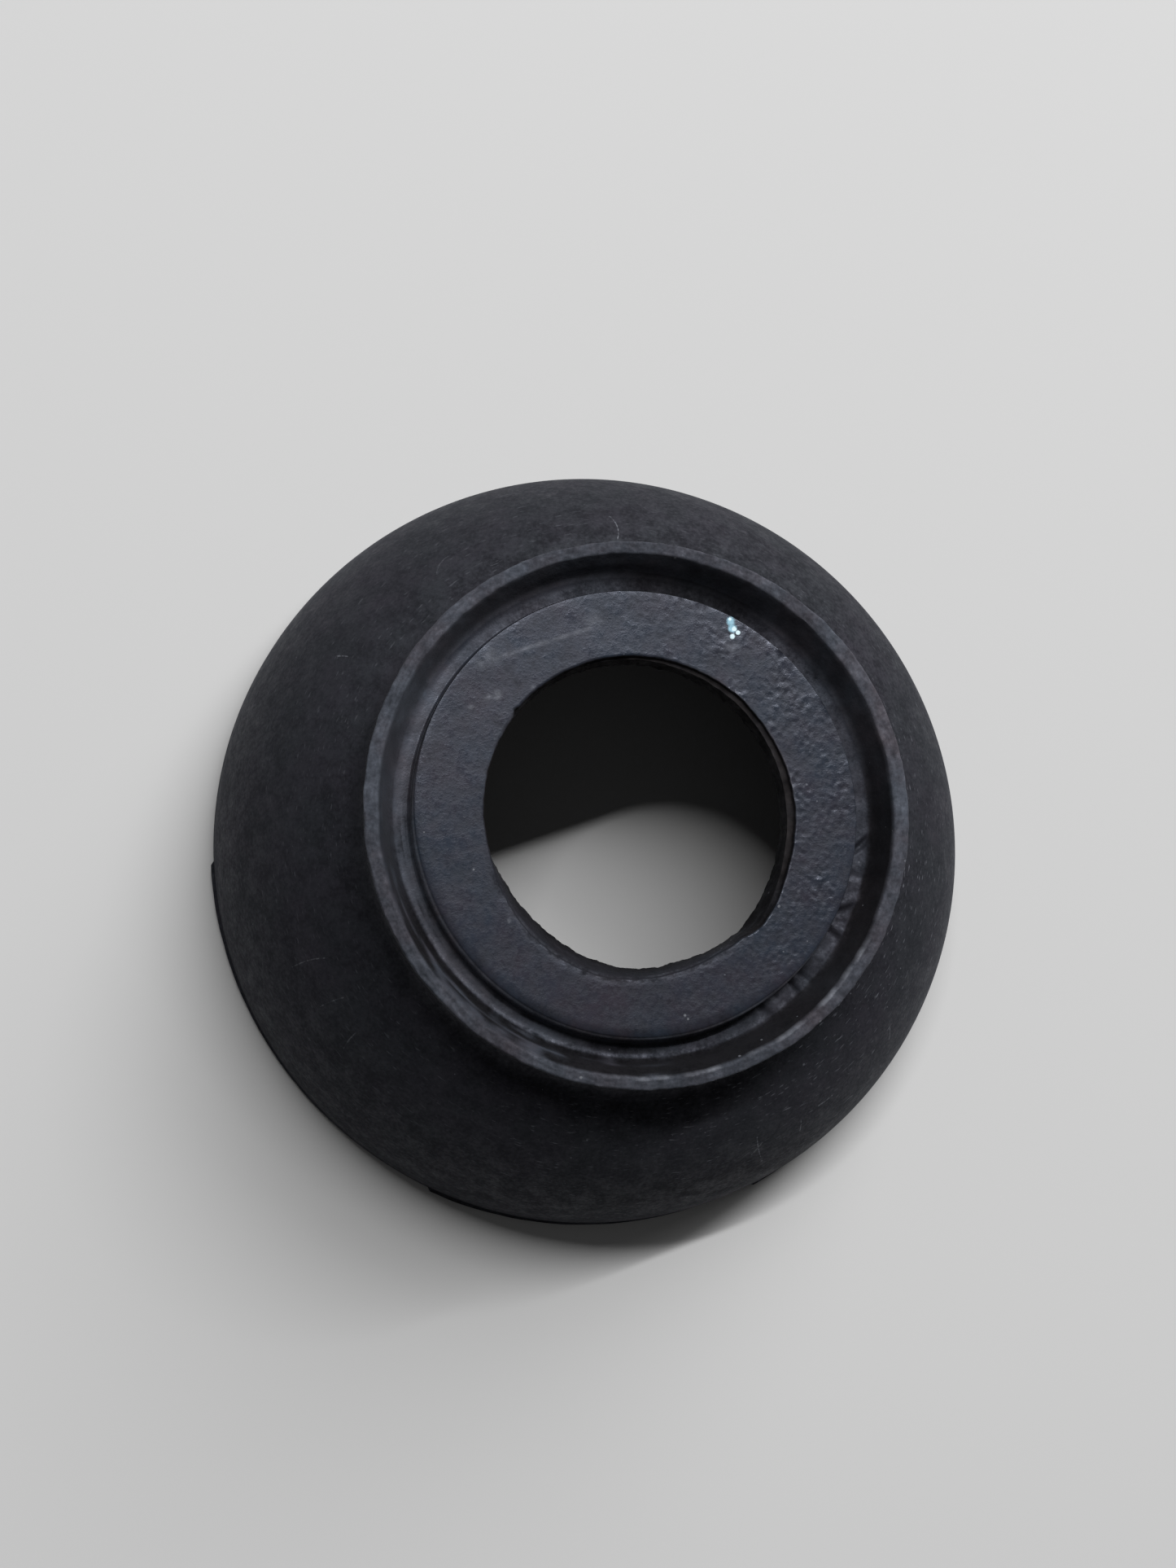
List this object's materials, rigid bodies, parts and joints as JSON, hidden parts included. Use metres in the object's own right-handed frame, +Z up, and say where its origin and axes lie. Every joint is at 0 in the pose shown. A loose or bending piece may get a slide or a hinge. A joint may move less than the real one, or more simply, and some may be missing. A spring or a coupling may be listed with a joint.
{
  "type": "tie rod end dust boot",
  "caption": "Bell-shaped rubber dust boot with a grooved sealing lip round its stud hole and a gripping bead inside its wide end.",
  "frame": {"origin": "centre of the wide end, in the plane that the boot lies on", "axes": "+Z up the boot's axis from the wide end to the collar, +X to the right and +Y away in the picture"},
  "size_m": [0.0402, 0.0401, 0.0144],
  "materials": {
    "rubber": "matt moulded black rubber, dusty, with a paler worn lip"
  },
  "bodies": {
    "root": {"dust_boot": "rubber"}
  },
  "joints": []
}
